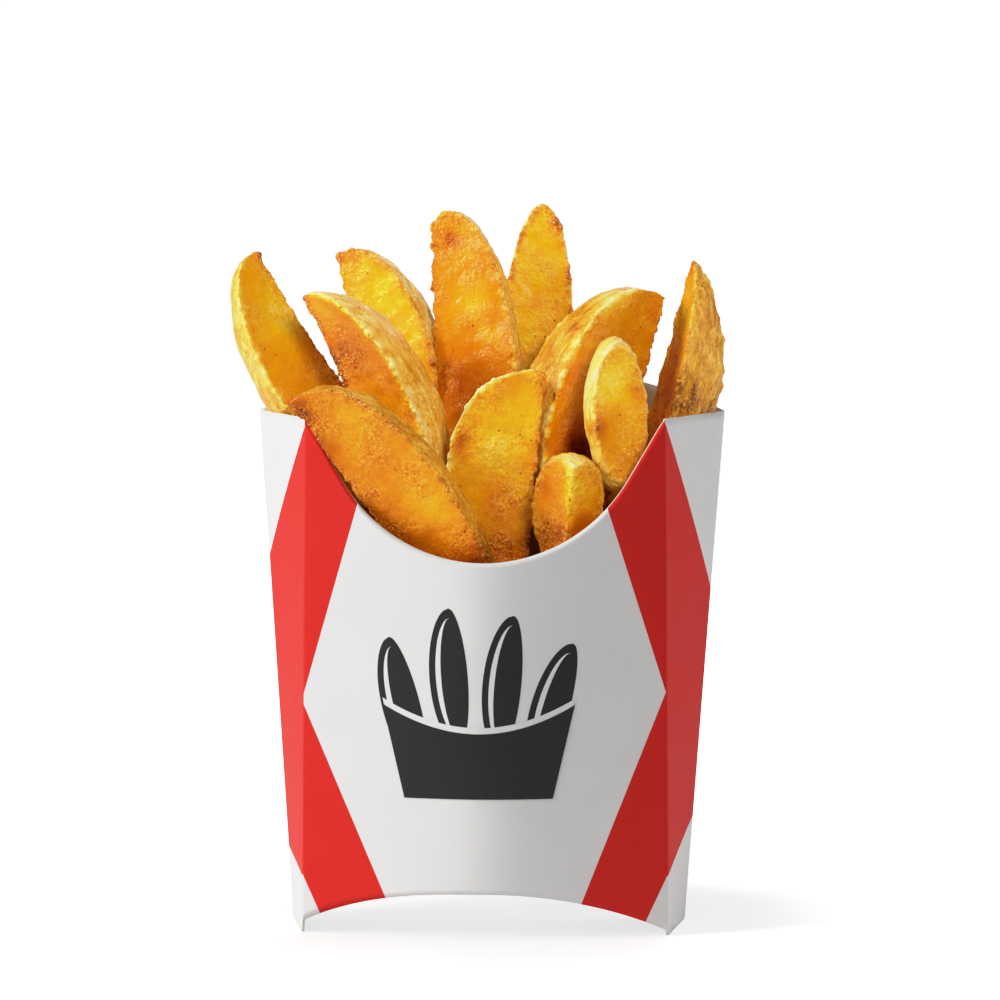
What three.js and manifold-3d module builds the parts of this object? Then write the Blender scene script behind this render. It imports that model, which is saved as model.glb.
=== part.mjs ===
// Carton of potato wedges: a folded paperboard scoop carton that stands on its two side panels,
// with a heap of skin-on wedges in it, eleven of which show over the rim.
// Millimetres, +Z up. Before the last move x runs across the front panel from its middle, y runs back
// from the creases beside the front panel, and z = 0 is the floor.

import * as THREE from 'three';
import { mergeVertices } from 'three/addons/utils/BufferGeometryUtils.js';
import Module from 'manifold-3d';

const wasm = await Module();
wasm.setup();

// ---------- driving dimensions ----------

const board = 0.6; // thickness of the paperboard
const sideHeight = 119; // floor to the top corners
const frontHalf = { bottom: 42.3, top: 41.2 }; // half the width between the front creases
const backHalf = { bottom: 46.4, top: 55.7 }; // half the width between the back creases
const depth = { bottom: 20.4, top: 38 }; // front creases to back creases
const frontBow = 7.5; // how far the front panel's middle stands out
const ridgeSoftness = 0.25; // how wide the bend in its middle is, as a share of its half width
const backBow = 7; // how far the back panel's middle stands out
const backRise = 11; // how far the back panel's arc rises over its corners

const scoopLowest = 86.5; // lowest point of the scoop over the floor
const scoopRadius = 37.9;
const scoopTurn = 58.4; // degrees of arc on each side before the edge runs straight
const scoopEnd = { x: 40.1, z: 117.6 }; // where the straight edge meets the small corner chamfer

const archMiddle = 10.5; // height of the front panel's bottom edge in the middle
const archDrop = { left: 7.6, right: 9.3 }; // how far the edge falls to each corner
const archPower = { left: 2.6, right: 2 }; // how square its curve is on each side
const bottomCrown = 5; // how far the pushed-in bottom panel rises between front and back

const gap = 0.3; // clearance between pieces that touch
const past = 4; // how far a cutter runs past what it cuts
const coreTop = 79; // height to which the heap is packed solid
const coreBump = 4; // how far its top rises and falls
const coreWave = { across: 7, back: 9 }; // how fast it does so, in radians over a panel's half and the depth

const shownFacets = { round: 22, along: 14, cut: 10 }; // of the potatoes and cut faces that show
const lowerFacets = { round: 14, along: 8, cut: 4 }; // of those below them
const panelSteps = 24; // facets across a bowed panel

// ---------- shared helpers ----------

const mix = THREE.MathUtils.lerp;
const radians = THREE.MathUtils.degToRad;

function toSolid(geometry) {
  const bare = geometry.clone();
  bare.deleteAttribute('normal');
  bare.deleteAttribute('uv');
  const merged = mergeVertices(bare, 1e-4);
  return new wasm.Manifold(new wasm.Mesh({
    numProp: 3,
    vertProperties: new Float32Array(merged.attributes.position.array),
    triVerts: new Uint32Array(merged.index.array),
  }));
}

function toGeometry(solid) {
  const mesh = solid.getMesh();
  const geometry = new THREE.BufferGeometry();
  geometry.setAttribute('position', new THREE.BufferAttribute(new Float32Array(mesh.vertProperties), 3));
  geometry.setIndex(new THREE.BufferAttribute(new Uint32Array(mesh.triVerts), 1));
  geometry.computeVertexNormals();
  return geometry;
}

// A cut can leave a loose scrap beside the piece, which is dropped.
function largestBody(solid) {
  return solid.decompose().reduce((best, body) => (body.volume() > best.volume() ? body : best));
}

// A box of unit size, cut into segments, with each of its points moved by place(a, b, c).
function mappedBox(segments, place) {
  const geometry = new THREE.BoxGeometry(1, 1, 1, ...segments);
  const position = geometry.attributes.position;
  for (let i = 0; i < position.count; i += 1) {
    const moved = place(position.getX(i) + 0.5, position.getY(i) + 0.5, position.getZ(i) + 0.5);
    position.setXYZ(i, ...moved);
  }
  return toSolid(geometry);
}

// An outline in the x-z plane, made solid from y = front to y = back.
function uprightPrism(shape, front, back) {
  const geometry = new THREE.ExtrudeGeometry(shape, {
    depth: back - front,
    bevelEnabled: false,
    curveSegments: 24,
  });
  geometry.rotateX(Math.PI / 2);
  geometry.translate(0, back, 0);
  return toSolid(geometry);
}

// ---------- carton ----------

// The front panel stands out in two nearly flat halves that meet in a soft ridge.
function frontBulge(u) {
  const fall = (across) => Math.hypot(across, ridgeSoftness) - ridgeSoftness;
  return 1 - fall(u) / fall(1);
}

// u runs from -1 at the left side panel to 1 at the right one, v from 0 at the front panel to 1 at the
// back panel, z is the height, and inset moves all four walls inwards.
function cartonPoint(u, v, z, inset) {
  const rise = z / sideHeight;
  const front = -frontBow * frontBulge(u) + inset;
  const back = mix(depth.bottom, depth.top, rise) + backBow * (1 - u * u) - inset;
  const halfFront = mix(frontHalf.bottom, frontHalf.top, rise);
  const halfBack = mix(backHalf.bottom, backHalf.top, rise);
  return [u * (mix(halfFront, halfBack, v) - inset), mix(front, back, v), z];
}

// Underside of the bottom panel, which hangs between the arched edges of the front and back panels.
function bottomHeight(u, v) {
  const side = u < 0 ? 'left' : 'right';
  const arch = archMiddle - archDrop[side] * Math.abs(u) ** archPower[side];
  const across = THREE.MathUtils.clamp(v, 0, 1);
  return arch + bottomCrown * 4 * across * (1 - across) * (1 - u * u);
}

// The room over the front panel's edge, from raise above it.
function scoopOutline(raise) {
  const reach = frontHalf.bottom;
  const top = sideHeight + backRise + 2 * past;
  const turn = radians(scoopTurn);
  const centre = scoopLowest + scoopRadius + raise;
  const shape = new THREE.Shape();
  shape.moveTo(-reach, sideHeight + raise);
  shape.lineTo(-scoopEnd.x, scoopEnd.z + raise);
  shape.absarc(0, centre, scoopRadius, -Math.PI / 2 - turn, -Math.PI / 2 + turn, false);
  shape.lineTo(scoopEnd.x, scoopEnd.z + raise);
  shape.lineTo(reach, sideHeight + raise);
  shape.lineTo(reach, top);
  shape.lineTo(-reach, top);
  return shape;
}

// The room over the back panel's edge, from raise above it.
function backArcOutline(raise) {
  const radius = (backHalf.top ** 2 + backRise ** 2) / (2 * backRise);
  const turn = Math.asin(backHalf.top / radius);
  const centre = sideHeight + backRise - radius + raise;
  const reach = backHalf.top + past;
  const top = sideHeight + backRise + 2 * past;
  const shape = new THREE.Shape();
  shape.moveTo(-reach, sideHeight + raise);
  shape.absarc(0, centre, radius, Math.PI / 2 + turn, Math.PI / 2 - turn, true);
  shape.lineTo(reach, sideHeight + raise);
  shape.lineTo(reach, top);
  shape.lineTo(-reach, top);
  return shape;
}

// The folded blank. With grow, all the room that it takes up together with a clearance round it.
function cartonSolid(grow = 0) {
  const top = sideHeight + backRise + past;
  const inside = board + grow;
  const overrun = 0.4; // share of the depth or the width by which a cutter passes the panels
  const outer = mappedBox([panelSteps, 1, 6], (a, b, c) => cartonPoint(2 * a - 1, b, c * top, -grow));
  const cavity = mappedBox([panelSteps, 6, 6], (a, b, c) => {
    const u = 2 * a - 1;
    return cartonPoint(u, b, mix(bottomHeight(u, b) + inside, top + past, c), inside);
  });
  const underArch = mappedBox([panelSteps, 10, 1], (a, b, c) => {
    const u = 2 * a - 1;
    const v = mix(-overrun, 1 + overrun, b);
    return cartonPoint(u, v, mix(-past, bottomHeight(u, v) - grow, c), inside);
  });
  const overSides = mappedBox([panelSteps, 1, 1], (a, b, c) => {
    const u = (1 + overrun) * (2 * a - 1);
    return cartonPoint(u, mix(-overrun, 1, b), mix(sideHeight + grow, top + past, c), inside);
  });
  const overBack = uprightPrism(backArcOutline(grow), -depth.top, 2 * depth.top);
  const scoop = uprightPrism(scoopOutline(grow), -depth.top, board);
  return outer.subtract(cavity).subtract(underArch).subtract(overSides).subtract(overBack).subtract(scoop);
}

// ---------- wedges ----------

// Each wedge is a sector cut lengthwise from a whole potato. base and tip are the ends of the potato's
// axis, girth its radius across and along the line of sight, wide the place of its widest ring from base
// to tip, and blunt how round its base and tip are (0.5 is an ellipse, less is blunter). The two cuts
// meet at ridge, measured from the axis to the right and to the back, and what is kept lies between the
// two directions of spread, in degrees, seen down the axis from the tip: 0 right, 90 back, 180 left.
// sway is how far the wedge's middle is bowed to the right and to the back. They are listed from the
// front of the heap to its back, and each is pressed flat where it meets one listed before it.
const shownWedges = [
  {
    name: 'wedge_front_left', base: [-0.5, 6.5, 59.5], tip: [-44.8, -5.2, 122.6],
    girth: [21.7, 21.5], wide: 0.56, blunt: [0.5, 0.36], ridge: [0, 0], spread: [-22, 14], sway: [-0.9, 0],
  },
  {
    name: 'wedge_front', base: [7, 12, 57.5], tip: [13.5, 8, 129],
    girth: [20.5, 20.5], wide: 0.7, blunt: [0.5, 0.4], ridge: [0.5, 0], spread: [150, 182], sway: [0, 0],
  },
  {
    name: 'wedge_small_front', base: [17.5, 5, 83], tip: [20, 2, 111],
    girth: [8, 7.5], wide: 0.65, blunt: [0.5, 0.42], ridge: [0.5, -5.5], spread: [35, 145], sway: [0, 0],
  },
  {
    name: 'wedge_small_right', base: [30.5, 7, 101.5], tip: [29, 7, 137.5],
    girth: [7.3, 8.5], wide: 0.5, blunt: [0.6, 0.5], ridge: [9, 0], spread: [150, 206], sway: [0, 0],
  },
  {
    name: 'wedge_left', base: [-17, 22, 88.5], tip: [-43, 19, 146.5],
    girth: [19, 19], wide: 0.5, blunt: [0.5, 0.5], ridge: [-0.5, 0], spread: [-44, 8], sway: [0, 0],
  },
  {
    name: 'wedge_right', base: [23.5, 27, 82.5], tip: [41.5, 33, 146.5],
    girth: [27, 27], wide: 0.5, blunt: [0.5, 0.38], ridge: [0.5, 0.5], spread: [190, 227], sway: [0, 0],
  },
  {
    name: 'wedge_tall', base: [-8, 28, 83], tip: [-9, 34, 166.5],
    girth: [17.5, 17.5], wide: 0.5, blunt: [0.5, 0.58], ridge: [-4.5, 0], spread: [-19, 10], sway: [-1.2, 0],
  },
  {
    name: 'wedge_far_left', base: [-21, 30.5, 100], tip: [-57.5, 34.5, 156],
    girth: [17, 17], wide: 0.5, blunt: [0.65, 0.56], ridge: [1, 0], spread: [162, 222], sway: [0.8, 0],
  },
  {
    name: 'wedge_far_right', base: [29, 33.5, 87.5], tip: [47.5, 35, 155],
    girth: [15.8, 15.8], wide: 0.5, blunt: [0.58, 0.66], ridge: [0, 0], spread: [-72, -8], sway: [-0.5, 0],
  },
  {
    name: 'wedge_back_left', base: [-20.5, 34.5, 104.5], tip: [-36, 40, 157],
    girth: [17, 15], wide: 0.5, blunt: [0.5, 0.5], ridge: [-1, 0], spread: [-25, 20], sway: [0, 0],
  },
  {
    name: 'wedge_back', base: [9.5, 35.5, 109.5], tip: [12, 45, 168.5],
    girth: [8.3, 10], wide: 0.5, blunt: [0.6, 0.6], ridge: [-20, -1.5], spread: [0, 18], sway: [0, 0],
  },
];

// The wedges below them, which stand out of the packed core of the heap and carry the ones that show.
// Each is cut from an even potato along its axis, and is pressed flat where it meets the carton.
const lowerWedges = [
  { base: [-24, 8, 42], tip: [-31, 9, 114], radius: 14, spread: [150, 210] },
  { base: [-31, 17, 44], tip: [-38, 17, 117], radius: 12, spread: [140, 220] },
  { base: [-36, 25, 44], tip: [-45, 31, 110], radius: 10, spread: [90, 200] },
  { base: [-24, 22, 42], tip: [-28, 28, 102], radius: 13, spread: [55, 125] },
  { base: [-10, 29, 48], tip: [-12, 34, 107], radius: 11, spread: [50, 130] },
  { base: [0, 30, 46], tip: [1, 36, 112], radius: 9, spread: [50, 130] },
  { base: [22, 34, 46], tip: [4, 37, 112], radius: 13, spread: [-20, 60] },
  { base: [24, 32, 46], tip: [27, 35, 114], radius: 12, spread: [50, 130] },
  { base: [36, 22, 40], tip: [41, 22, 98], radius: 12, spread: [-45, 45] },
  { base: [32, 14, 44], tip: [37, 14, 114], radius: 12, spread: [-50, 40] },
  { base: [34, 30, 40], tip: [38, 28, 92], radius: 14, spread: [200, 270] },
  { base: [30, 8, 40], tip: [31, 8, 100], radius: 11, spread: [-60, 20] },
  { base: [40, 12, 40], tip: [34, 11, 98], radius: 15, spread: [120, 185] },
  { base: [-12, 16, 34], tip: [-15, 19, 87], radius: 12, spread: [150, 230] },
  { base: [16, 20, 30], tip: [20, 25, 81], radius: 12, spread: [40, 110] },
  { base: [-6, 24, 32], tip: [-8, 27, 82], radius: 11, spread: [60, 130] },
  { base: [15, 8, 32], tip: [17, 7, 82], radius: 11, spread: [-120, -40] },
  { base: [-22, 4, 34], tip: [-26, 4, 88], radius: 11, spread: [180, 260] },
];

// The frame of a potato: right and back across its axis, and the axis itself from base to tip.
function potatoFrame(wedge) {
  const base = new THREE.Vector3(...wedge.base);
  const axis = new THREE.Vector3(...wedge.tip).sub(base);
  const length = axis.length();
  axis.normalize();
  const back = new THREE.Vector3(0, 1, 0);
  back.addScaledVector(axis, -back.dot(axis)).normalize();
  const right = new THREE.Vector3().crossVectors(back, axis);
  return { length, toWorld: new THREE.Matrix4().makeBasis(right, back, axis).setPosition(base) };
}

// Bows a piece sideways, most in the middle of the potato's length.
function bow(geometry, wedge, length) {
  const position = geometry.attributes.position;
  for (let i = 0; i < position.count; i += 1) {
    const along = THREE.MathUtils.clamp(position.getZ(i) / length, 0, 1);
    const share = 4 * along * (1 - along);
    position.setX(i, position.getX(i) + wedge.sway[0] * share);
    position.setY(i, position.getY(i) + wedge.sway[1] * share);
  }
}

// The whole potato, from a sphere whose poles lie at the ends of its axis.
function potatoSolid(wedge, grow, facets, { length, toWorld }) {
  const potato = new THREE.SphereGeometry(1, facets.round, facets.along);
  const position = potato.attributes.position;
  for (let i = 0; i < position.count; i += 1) {
    const along = position.getY(i);
    const end = along < 0 ? 0 : 1;
    const half = along < 0 ? wedge.wide : 1 - wedge.wide;
    const ring = Math.max(1 - along * along, 0);
    const swell = ring > 0 ? ring ** (wedge.blunt[end] - 0.5) : 0;
    position.setXYZ(
      i,
      position.getX(i) * swell * (wedge.girth[0] + grow),
      -position.getZ(i) * swell * (wedge.girth[1] + grow),
      wedge.wide * length + along * (half * length + grow),
    );
  }
  bow(potato, wedge, length);
  potato.applyMatrix4(toWorld);
  return toSolid(potato);
}

// What the two cuts leave: a prism whose edge is the wedge's ridge, set back by grow on both faces.
function sectorSolid(wedge, grow, facets, { length, toWorld }) {
  const reach = past * Math.max(...wedge.girth);
  const [from, to] = wedge.spread.map(radians);
  const setBack = grow / Math.sin((to - from) / 2);
  const x = wedge.ridge[0] - setBack * Math.cos((from + to) / 2);
  const y = wedge.ridge[1] - setBack * Math.sin((from + to) / 2);
  const sector = new THREE.Shape();
  sector.moveTo(x, y);
  sector.lineTo(x + reach * Math.cos(from), y + reach * Math.sin(from));
  sector.lineTo(x + reach * Math.cos(to), y + reach * Math.sin(to));
  const cuts = new THREE.ExtrudeGeometry(sector, {
    depth: length + 2 * past,
    steps: facets.cut,
    bevelEnabled: false,
  });
  cuts.translate(0, 0, -past);
  bow(cuts, wedge, length);
  cuts.applyMatrix4(toWorld);
  return toSolid(cuts);
}

function wedgeSolid(wedge, grow = 0, facets = shownFacets) {
  const frame = potatoFrame(wedge);
  return potatoSolid(wedge, grow, facets, frame).intersect(sectorSolid(wedge, grow, facets, frame));
}

function lowerWedgeSolid({ base, tip, radius, spread }) {
  const even = { girth: [radius, radius], wide: 0.5, blunt: [0.5, 0.5], ridge: [0, 0], sway: [0, 0] };
  return wedgeSolid({ base, tip, spread, ...even }, 0, lowerFacets);
}

// The inside of the carton up to the height that top(u, v) gives, clear of the board.
function roomSolid(top) {
  const inset = board + gap;
  return mappedBox([panelSteps, 6, 2], (a, b, c) => {
    const u = 2 * a - 1;
    return cartonPoint(u, b, mix(bottomHeight(u, b) + inset, top(u, b), c), inset);
  });
}

// The rest of the heap, less what the wedges that show take up.
function lowerHeapSolid(taken) {
  const core = roomSolid((u, v) => (
    coreTop + coreBump * Math.sin(coreWave.across * u) * Math.cos(coreWave.back * v)
  ));
  const room = roomSolid(() => sideHeight - past);
  const standing = lowerWedges.map((wedge) => lowerWedgeSolid(wedge).intersect(room));
  const heap = standing.reduce((sum, solid) => sum.add(solid), core);
  return largestBody(taken.reduce((rest, wedge) => rest.subtract(wedge), heap));
}

// ---------- materials and assembly ----------

const boardFinish = { color: 0xeeedea, roughness: 0.55, metalness: 0 };
const wedgeFinish = { color: 0xdf9a1c, roughness: 0.45, metalness: 0 };

const group = new THREE.Group();

function addPiece(name, solid, finish) {
  const mesh = new THREE.Mesh(toGeometry(solid), new THREE.MeshStandardMaterial(finish));
  mesh.name = name;
  group.add(mesh);
}

addPiece('carton', cartonSolid(), boardFinish);

const cartonRoom = cartonSolid(gap);
const rooms = [];
for (const wedge of shownWedges) {
  const free = rooms.reduce((rest, room) => rest.subtract(room), wedgeSolid(wedge).subtract(cartonRoom));
  addPiece(wedge.name, largestBody(free), wedgeFinish);
  rooms.push(wedgeSolid(wedge, gap));
}
addPiece('lower_wedges', lowerHeapSolid(rooms), wedgeFinish);

// The origin is the middle of the whole part's footprint, on the floor.
const bounds = new THREE.Box3().setFromObject(group);
const middle = bounds.getCenter(new THREE.Vector3());
group.position.set(-middle.x, -middle.y, -bounds.min.z);

export default group;
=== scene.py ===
import math
import bmesh
import bpy
import numpy as np
from mathutils import Matrix, Vector, noise


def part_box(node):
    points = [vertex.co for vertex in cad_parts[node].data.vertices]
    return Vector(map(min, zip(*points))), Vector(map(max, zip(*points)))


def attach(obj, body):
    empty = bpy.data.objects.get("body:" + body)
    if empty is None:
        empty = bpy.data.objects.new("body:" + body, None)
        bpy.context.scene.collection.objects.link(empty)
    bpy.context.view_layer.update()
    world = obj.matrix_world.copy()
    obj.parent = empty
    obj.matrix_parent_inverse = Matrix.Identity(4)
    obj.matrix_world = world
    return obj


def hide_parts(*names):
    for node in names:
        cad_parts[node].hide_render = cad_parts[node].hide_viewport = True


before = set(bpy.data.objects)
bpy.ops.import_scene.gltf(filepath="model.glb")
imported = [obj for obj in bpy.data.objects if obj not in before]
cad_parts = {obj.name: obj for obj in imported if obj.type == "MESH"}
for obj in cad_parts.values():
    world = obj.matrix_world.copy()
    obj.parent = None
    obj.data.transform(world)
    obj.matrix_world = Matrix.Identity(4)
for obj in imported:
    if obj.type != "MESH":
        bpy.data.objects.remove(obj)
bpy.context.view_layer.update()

# ---------- view and light ----------
# The carton stands on a white sheet, seen from the front and slightly above, with a large soft light
# on the left, weaker ones on the right, above and behind, and one in front for the food alone.

mm = 0.001
carton_low, carton_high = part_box("carton")
front_bow = 7.5 * mm
# the middle of the line between the two front creases, on the floor
front_middle = Vector(((carton_low[0] + carton_high[0]) / 2, carton_low[1] + front_bow, 0))

scene = bpy.context.scene
scene.view_settings.view_transform = "Standard"
scene.view_settings.look = "None"
# like film, the picture holds back its brightest tones, so that lit white board stays short of pure white
brightest = 1.5
film_curve = ((0.6, 0.6), (0.8, 0.78), (0.95, 0.83), (1.15, 0.865), (1.3, 0.89), (1.42, 0.95))
scene.view_settings.use_curve_mapping = True
response = scene.view_settings.curve_mapping
response.white_level = (brightest, brightest, brightest)
all_colors = response.curves[3]
for light_in, light_out in film_curve:
    all_colors.points.new(light_in / brightest, light_out)
for point in all_colors.points:
    point.handle_type = "AUTO_CLAMPED"
response.update()

view_target = front_middle + Vector((3.5, 0, 100.4)) * mm
view_distance = 782.8 * mm
view_elevation = math.radians(4.4)
view_turn = math.radians(2.33)
towards = Vector((-math.sin(view_turn) * math.cos(view_elevation),
                  math.cos(view_turn) * math.cos(view_elevation),
                  -math.sin(view_elevation)))
camera = bpy.data.objects.new("camera", bpy.data.cameras.new("camera"))
camera.data.sensor_width = 36
camera.data.lens = 123.4
camera.data.clip_start = 0.01
camera.location = view_target - towards * view_distance
camera.rotation_euler = towards.to_track_quat("-Z", "Y").to_euler()
scene.collection.objects.link(camera)
scene.camera = camera


lights_aim = front_middle + Vector((0, 15, 90)) * mm


def soft_light(name, azimuth, elevation, distance, width, height, watts, color=(1, 1, 1)):
    # azimuth in degrees from the front towards the right, seen from the carton's middle
    turn, rise = math.radians(azimuth), math.radians(elevation)
    away = Vector((math.sin(turn) * math.cos(rise), -math.cos(turn) * math.cos(rise), math.sin(rise)))
    light = bpy.data.objects.new(name, bpy.data.lights.new(name, "AREA"))
    light.data.shape = "RECTANGLE"
    light.data.size = width
    light.data.size_y = height
    light.data.energy = watts
    light.data.color = color
    light.location = lights_aim + away * distance
    light.rotation_euler = (-away).to_track_quat("-Z", "Y").to_euler()
    scene.collection.objects.link(light)
    return light


soft_light("key", -73, 24, 1.1, 0.35, 0.5, 14.5)
soft_light("fill", 100, 10, 1.2, 0.5, 0.5, 4.2)
soft_light("top", 0, 75, 1.0, 0.6, 0.6, 2.2)
soft_light("back", 165, 35, 1.2, 0.6, 0.6, 3.5)
# the food is lit more from the front than its carton is
food_light = soft_light("food", 24, 26, 1.1, 0.3, 0.3, 7, (1, 0.95, 0.85))
lit_food = bpy.data.collections.new("lit_food")
food_light.light_linking.receiver_collection = lit_food

# the studio is dim for what it lights and white for the camera
room_strength, wall_strength = 0.05, 1.6
world = bpy.data.worlds.new("studio")
world.use_nodes = True
scene.world = world
studio = world.node_tree
background = studio.nodes["Background"]
background.inputs["Color"].default_value = (1, 1, 1, 1)
background.inputs["Strength"].default_value = room_strength
white_wall = studio.nodes.new("ShaderNodeBackground")
white_wall.inputs["Color"].default_value = (1, 1, 1, 1)
white_wall.inputs["Strength"].default_value = wall_strength
which_ray = studio.nodes.new("ShaderNodeLightPath")
choose = studio.nodes.new("ShaderNodeMixShader")
studio.links.new(which_ray.outputs["Is Camera Ray"], choose.inputs["Fac"])
studio.links.new(background.outputs["Background"], choose.inputs[1])
studio.links.new(white_wall.outputs["Background"], choose.inputs[2])
studio.links.new(choose.outputs["Shader"], studio.nodes["World Output"].inputs["Surface"])


def finish_named(name, roughness, specular=0.5):
    material = bpy.data.materials.new(name)
    material.use_nodes = True
    shader = material.node_tree.nodes["Principled BSDF"]
    shader.inputs["Roughness"].default_value = roughness
    shader.inputs["Specular IOR Level"].default_value = specular
    return material, material.node_tree, shader


def loose_object(name, bm):
    mesh = bpy.data.meshes.new(name)
    bm.to_mesh(mesh)
    bm.free()
    made = bpy.data.objects.new(name, mesh)
    scene.collection.objects.link(made)
    return made


floor_half = 3
sheet = bmesh.new()
bmesh.ops.create_grid(sheet, x_segments=1, y_segments=1, size=floor_half)
floor = loose_object("floor", sheet)
white_sheet, tree, shader = finish_named("white_sheet", 0.8, 0.1)
shader.inputs["Base Color"].default_value = (0.9, 0.9, 0.9, 1)
# the sheet glows for the camera alone, so that it reads as white as the studio behind it. Close to the carton
# the glow is weaker, a painted shadow round the carton, so that the carton's soft shadow still shows.
spot = tree.nodes.new("ShaderNodeTexCoord")
away = tree.nodes.new("ShaderNodeVectorMath")
away.operation = "LENGTH"
tree.links.new(spot.outputs["Object"], away.inputs[0])
fade = tree.nodes.new("ShaderNodeMapRange")
fade.interpolation_type = "SMOOTHSTEP"
tree.links.new(away.outputs["Value"], fade.inputs["Value"])
for socket, value in (("From Min", 0.03), ("From Max", 0.13), ("To Min", 0.6), ("To Max", 1.5)):
    fade.inputs[socket].default_value = value
glow = tree.nodes.new("ShaderNodeEmission")
tree.links.new(fade.outputs["Result"], glow.inputs["Strength"])
seen = tree.nodes.new("ShaderNodeLightPath")
no_glow = tree.nodes.new("ShaderNodeEmission")
no_glow.inputs["Strength"].default_value = 0
pick = tree.nodes.new("ShaderNodeMixShader")
both = tree.nodes.new("ShaderNodeAddShader")
tree.links.new(seen.outputs["Is Camera Ray"], pick.inputs["Fac"])
tree.links.new(no_glow.outputs["Emission"], pick.inputs[1])
tree.links.new(glow.outputs["Emission"], pick.inputs[2])
tree.links.new(shader.outputs["BSDF"], both.inputs[0])
tree.links.new(pick.outputs["Shader"], both.inputs[1])
tree.links.new(both.outputs["Shader"], tree.nodes["Material Output"].inputs["Surface"])
floor.data.materials.append(white_sheet)

# ---------- carton ----------
# One blank of white coated board with red bands printed on it, die-cut, folded along four upright
# creases and glued. It stands on its side panels, and the front and back panels end in arches.

board = 0.6 * mm
side_height = 119 * mm
front_half = (42.3 * mm, 41.2 * mm)     # half widths between the front creases, at the floor and the top
back_half = (46.4 * mm, 55.7 * mm)
carton_depth = (20.4 * mm, 38 * mm)     # of the side panels, at the floor and the top
ridge_softness = 0.25
back_bow = 7 * mm
back_rise = 11 * mm                     # of the back panel's top edge, over the side panels
# the scoop is an arc, then a straight edge as far as scoop_end, then a cut corner
scoop_lowest = 86.5 * mm
scoop_radius = 37.9 * mm
scoop_turn = math.radians(58.4)
scoop_end = (40.1 * mm, 117.6 * mm)
# the arch under the front panel, with a shoulder on the left (-1) and a plain bow on the right (1)
arch_middle = 10.5 * mm
arch_drop = {-1: 7.6 * mm, 1: 9.3 * mm}
arch_power = {-1: 2.6, 1: 2}
bottom_crown = 5 * mm
crease_round = 0.3 * mm


def mix(a, b, t):
    return a + (b - a) * t


def front_bulge(u):
    # the front panel stands out in two nearly flat halves that meet in a soft ridge
    def fall(across):
        return np.hypot(across, ridge_softness) - ridge_softness
    return 1 - fall(u) / fall(1)


def carton_point(u, v, z, inset=0.0):
    # u from -1 at the left side panel to 1 at the right one, v from 0 at the front to 1 at the back
    rise = z / side_height
    front = -front_bow * front_bulge(u) + inset
    back = mix(*carton_depth, rise) + back_bow * (1 - u * u) - inset
    half = mix(mix(*front_half, rise), mix(*back_half, rise), v) - inset
    return front_middle + Vector((u * half, mix(front, back, v), z))


def arch_height(u, v=0):
    side = -1 if u < 0 else 1
    arch = arch_middle - arch_drop[side] * abs(u) ** arch_power[side]
    return arch + bottom_crown * 4 * v * (1 - v) * (1 - u * u)


def front_top(x):
    x = abs(x)
    arc_end = scoop_radius * math.sin(scoop_turn)
    centre = scoop_lowest + scoop_radius
    if x < arc_end:
        return centre - math.sqrt(scoop_radius ** 2 - x ** 2)
    arc_top = centre - scoop_radius * math.cos(scoop_turn)
    if x < scoop_end[0]:
        return mix(arc_top, scoop_end[1], (x - arc_end) / (scoop_end[0] - arc_end))
    corner = (x - scoop_end[0]) / (front_half[1] - scoop_end[0])
    return min(side_height, mix(scoop_end[1], side_height, corner))


def back_top(x):
    radius = (back_half[1] ** 2 + back_rise ** 2) / (2 * back_rise)
    return side_height + back_rise - radius + math.sqrt(radius ** 2 - min(abs(x), back_half[1]) ** 2)


# columns run round the carton, and rows from its bottom edge to its top edge
wall_rows = 60
front_columns, side_columns, back_columns = 120, 24, 90
around = []
for i in range(front_columns):
    u = -1 + 2 * i / front_columns
    around.append((u, 0, arch_height(u), front_top(u * front_half[1])))
for i in range(side_columns):
    around.append((1, i / side_columns, 0, side_height))
for i in range(back_columns):
    u = 1 - 2 * i / back_columns
    around.append((u, 1, arch_height(u), back_top(u * back_half[1])))
for i in range(side_columns):
    around.append((-1, 1 - i / side_columns, 0, side_height))

walls = bmesh.new()
bmesh.ops.create_grid(walls, x_segments=len(around), y_segments=wall_rows, size=0.5)
panel_layer = walls.faces.layers.int.new("panel")
front_panel, right_panel, back_panel, left_panel = range(4)
panel_ends = np.cumsum([front_columns, side_columns, back_columns, side_columns])
for face in walls.faces:
    column = (face.calc_center_median().x + 0.5) * len(around)
    face[panel_layer] = int(np.searchsorted(panel_ends, column))
for vert in walls.verts:
    u, v, bottom, top = around[round((vert.co.x + 0.5) * len(around)) % len(around)]
    vert.co = carton_point(u, v, mix(bottom, top, vert.co.y + 0.5))
# the last column meets the first
bmesh.ops.remove_doubles(walls, verts=walls.verts, dist=1e-6)
bmesh.ops.recalc_face_normals(walls, faces=walls.faces)
fold_edges = [
    edge for edge in walls.edges
    if len({face[panel_layer] for face in edge.link_faces}) == 2
]
bmesh.ops.bevel(walls, geom=fold_edges, offset=crease_round, segments=3, profile=0.5, affect="EDGES",
                material=-1, offset_type="OFFSET")

# Each red band lies between an outer line and the edge of a white hexagon, whose side corners touch the
# creases. A line is given by its two ends, by how far each lies across the panel and how high, in mm. -1 is
# the left side and 1 the right one.
hexagon = {
    -1: ((-29.0, 99.4), (-42.1, 54.1), (-22.4, 8.6)),
    1: ((28.1, 98.7), (41.5, 56.4), (22.3, 8.0)),
}
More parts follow.
